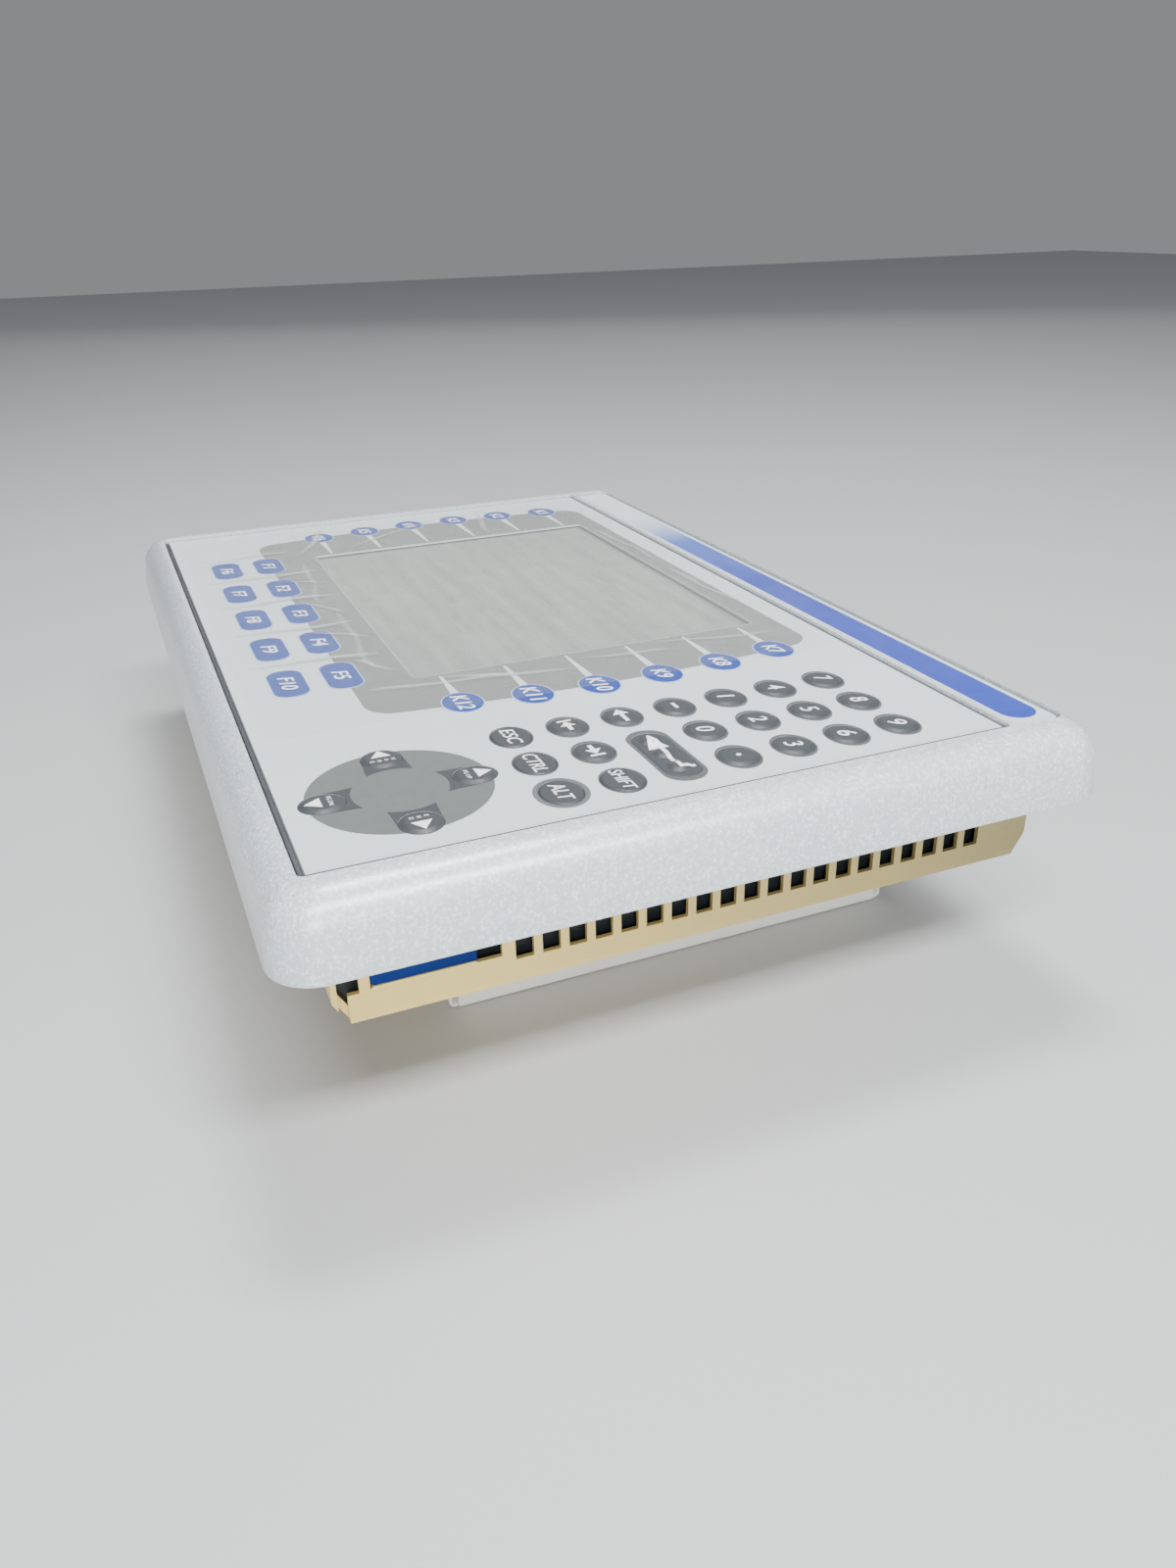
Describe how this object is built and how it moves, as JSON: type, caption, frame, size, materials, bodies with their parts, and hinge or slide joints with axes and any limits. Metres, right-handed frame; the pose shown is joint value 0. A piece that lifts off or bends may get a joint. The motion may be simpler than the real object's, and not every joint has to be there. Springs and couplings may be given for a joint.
{
  "type": "operator terminal",
  "caption": "Flat operator terminal with a colour display, membrane keypad, navigation keys, folded sheet-metal rear chassis and a shallow logic module on its back.",
  "frame": {"origin": "middle of the bottom of the whole object's box, on the surface that the rear of the logic module rests on", "axes": "+Z out of the display, +X towards the keypad end, +Y towards the banner strip, which is the top edge in use"},
  "size_m": [0.29, 0.192, 0.07],
  "materials": {
    "bezel_paint": "pebbled, light grey-blue",
    "film": "smooth satin film, pale grey-blue",
    "banner_film": "blue fading to pale grey",
    "screen_glass": "anti-glare touch screen",
    "display_glass": "unlit display, grey-green",
    "display_tray": "light guide and thin tray",
    "black_foam": "closed-cell foam",
    "key_grey": "dark grey embossed film",
    "circuit_green": "solder mask",
    "chromated_steel": "yellow-gold chromate over fine grain",
    "blue_sheet": "deep blue sheet",
    "white_sheet_metal": "silver-white sheet",
    "black_plastic": "moulded",
    "green_plastic": "moulded",
    "connector_shell": "plated shell",
    "aluminium": "machined",
    "screw_steel": "zinc plated",
    "cell_steel": "plated cell"
  },
  "bodies": {
    "root": {"bezel": "bezel_paint", "panel_gasket": "black_foam", "keypad_film": "film", "banner_strip": "banner_film", "touch_screen": "screen_glass", "lcd_panel": "display_glass", "lcd_backlight": "display_tray", "backlight_inverter": "circuit_green", "keypad_board": "circuit_green", "display_board": "circuit_green", "rear_chassis": "chromated_steel", "insulation_sheet": "blue_sheet", "module_cover": "white_sheet_metal", "module_base": "white_sheet_metal", "main_board": "circuit_green", "power_header": "black_plastic", "serial_port": "connector_shell", "usb_port_1": "connector_shell", "usb_port_2": "connector_shell", "ethernet_port": "connector_shell", "card_slot": "black_plastic", "heat_sink": "aluminium", "battery": "cell_steel", "chassis_screw_1": "screw_steel", "chassis_screw_2": "screw_steel", "chassis_screw_3": "screw_steel", "chassis_screw_4": "screw_steel", "module_screw_1": "screw_steel", "module_screw_2": "screw_steel", "module_screw_3": "screw_steel", "module_screw_4": "screw_steel", "cover_screw_1": "screw_steel", "cover_screw_2": "screw_steel"},
    "key_esc": {"key_esc": "key_grey"},
    "key_ctrl": {"key_ctrl": "key_grey"},
    "key_alt": {"key_alt": "key_grey"},
    "key_tab_left": {"key_tab_left": "key_grey"},
    "key_tab_right": {"key_tab_right": "key_grey"},
    "key_shift": {"key_shift": "key_grey"},
    "key_backspace": {"key_backspace": "key_grey"},
    "key_enter": {"key_enter": "key_grey"},
    "key_minus": {"key_minus": "key_grey"},
    "key_0": {"key_0": "key_grey"},
    "key_point": {"key_point": "key_grey"},
    "key_1": {"key_1": "key_grey"},
    "key_2": {"key_2": "key_grey"},
    "key_3": {"key_3": "key_grey"},
    "key_4": {"key_4": "key_grey"},
    "key_5": {"key_5": "key_grey"},
    "key_6": {"key_6": "key_grey"},
    "key_7": {"key_7": "key_grey"},
    "key_8": {"key_8": "key_grey"},
    "key_9": {"key_9": "key_grey"},
    "key_up": {"key_up": "key_grey"},
    "key_down": {"key_down": "key_grey"},
    "key_left": {"key_left": "key_grey"},
    "key_right": {"key_right": "key_grey"},
    "reset_button": {"reset_button": "black_plastic"},
    "power_plug": {"power_plug": "green_plastic"},
    "memory_card": {"memory_card": "black_plastic"}
  },
  "joints": [
    {"name": "key_esc_press", "type": "slide", "parent": "root", "child": "key_esc", "axis": [0, 0, -1], "range_m": [0, 0.0004], "stiffness_N_per_m": 2000, "springref_m": -0.0002},
    {"name": "key_ctrl_press", "type": "slide", "parent": "root", "child": "key_ctrl", "axis": [0, 0, -1], "range_m": [0, 0.0004], "stiffness_N_per_m": 2000, "springref_m": -0.0002},
    {"name": "key_alt_press", "type": "slide", "parent": "root", "child": "key_alt", "axis": [0, 0, -1], "range_m": [0, 0.0004], "stiffness_N_per_m": 2000, "springref_m": -0.0002},
    {"name": "key_tab_left_press", "type": "slide", "parent": "root", "child": "key_tab_left", "axis": [0, 0, -1], "range_m": [0, 0.0004], "stiffness_N_per_m": 2000, "springref_m": -0.0002},
    {"name": "key_tab_right_press", "type": "slide", "parent": "root", "child": "key_tab_right", "axis": [0, 0, -1], "range_m": [0, 0.0004], "stiffness_N_per_m": 2000, "springref_m": -0.0002},
    {"name": "key_shift_press", "type": "slide", "parent": "root", "child": "key_shift", "axis": [0, 0, -1], "range_m": [0, 0.0004], "stiffness_N_per_m": 2000, "springref_m": -0.0002},
    {"name": "key_backspace_press", "type": "slide", "parent": "root", "child": "key_backspace", "axis": [0, 0, -1], "range_m": [0, 0.0004], "stiffness_N_per_m": 2000, "springref_m": -0.0002},
    {"name": "key_enter_press", "type": "slide", "parent": "root", "child": "key_enter", "axis": [0, 0, -1], "range_m": [0, 0.0004], "stiffness_N_per_m": 2000, "springref_m": -0.0002},
    {"name": "key_minus_press", "type": "slide", "parent": "root", "child": "key_minus", "axis": [0, 0, -1], "range_m": [0, 0.0004], "stiffness_N_per_m": 2000, "springref_m": -0.0002},
    {"name": "key_0_press", "type": "slide", "parent": "root", "child": "key_0", "axis": [0, 0, -1], "range_m": [0, 0.0004], "stiffness_N_per_m": 2000, "springref_m": -0.0002},
    {"name": "key_point_press", "type": "slide", "parent": "root", "child": "key_point", "axis": [0, 0, -1], "range_m": [0, 0.0004], "stiffness_N_per_m": 2000, "springref_m": -0.0002},
    {"name": "key_1_press", "type": "slide", "parent": "root", "child": "key_1", "axis": [0, 0, -1], "range_m": [0, 0.0004], "stiffness_N_per_m": 2000, "springref_m": -0.0002},
    {"name": "key_2_press", "type": "slide", "parent": "root", "child": "key_2", "axis": [0, 0, -1], "range_m": [0, 0.0004], "stiffness_N_per_m": 2000, "springref_m": -0.0002},
    {"name": "key_3_press", "type": "slide", "parent": "root", "child": "key_3", "axis": [0, 0, -1], "range_m": [0, 0.0004], "stiffness_N_per_m": 2000, "springref_m": -0.0002},
    {"name": "key_4_press", "type": "slide", "parent": "root", "child": "key_4", "axis": [0, 0, -1], "range_m": [0, 0.0004], "stiffness_N_per_m": 2000, "springref_m": -0.0002},
    {"name": "key_5_press", "type": "slide", "parent": "root", "child": "key_5", "axis": [0, 0, -1], "range_m": [0, 0.0004], "stiffness_N_per_m": 2000, "springref_m": -0.0002},
    {"name": "key_6_press", "type": "slide", "parent": "root", "child": "key_6", "axis": [0, 0, -1], "range_m": [0, 0.0004], "stiffness_N_per_m": 2000, "springref_m": -0.0002},
    {"name": "key_7_press", "type": "slide", "parent": "root", "child": "key_7", "axis": [0, 0, -1], "range_m": [0, 0.0004], "stiffness_N_per_m": 2000, "springref_m": -0.0002},
    {"name": "key_8_press", "type": "slide", "parent": "root", "child": "key_8", "axis": [0, 0, -1], "range_m": [0, 0.0004], "stiffness_N_per_m": 2000, "springref_m": -0.0002},
    {"name": "key_9_press", "type": "slide", "parent": "root", "child": "key_9", "axis": [0, 0, -1], "range_m": [0, 0.0004], "stiffness_N_per_m": 2000, "springref_m": -0.0002},
    {"name": "key_up_press", "type": "slide", "parent": "root", "child": "key_up", "axis": [0, 0, -1], "range_m": [0, 0.0004], "stiffness_N_per_m": 2000, "springref_m": -0.0002},
    {"name": "key_down_press", "type": "slide", "parent": "root", "child": "key_down", "axis": [0, 0, -1], "range_m": [0, 0.0004], "stiffness_N_per_m": 2000, "springref_m": -0.0002},
    {"name": "key_left_press", "type": "slide", "parent": "root", "child": "key_left", "axis": [0, 0, -1], "range_m": [0, 0.0004], "stiffness_N_per_m": 2000, "springref_m": -0.0002},
    {"name": "key_right_press", "type": "slide", "parent": "root", "child": "key_right", "axis": [0, 0, -1], "range_m": [0, 0.0004], "stiffness_N_per_m": 2000, "springref_m": -0.0002},
    {"name": "reset_press", "type": "slide", "parent": "root", "child": "reset_button", "axis": [0, 1, 0], "range_m": [0, 0.0008], "stiffness_N_per_m": 1500, "springref_m": -0.0002},
    {"name": "power_plug_pull", "type": "slide", "parent": "root", "child": "power_plug", "axis": [0, -1, 0], "range_m": [0, 0.012]},
    {"name": "memory_card_pull", "type": "slide", "parent": "root", "child": "memory_card", "axis": [0, -1, 0], "range_m": [0, 0.034]}
  ]
}
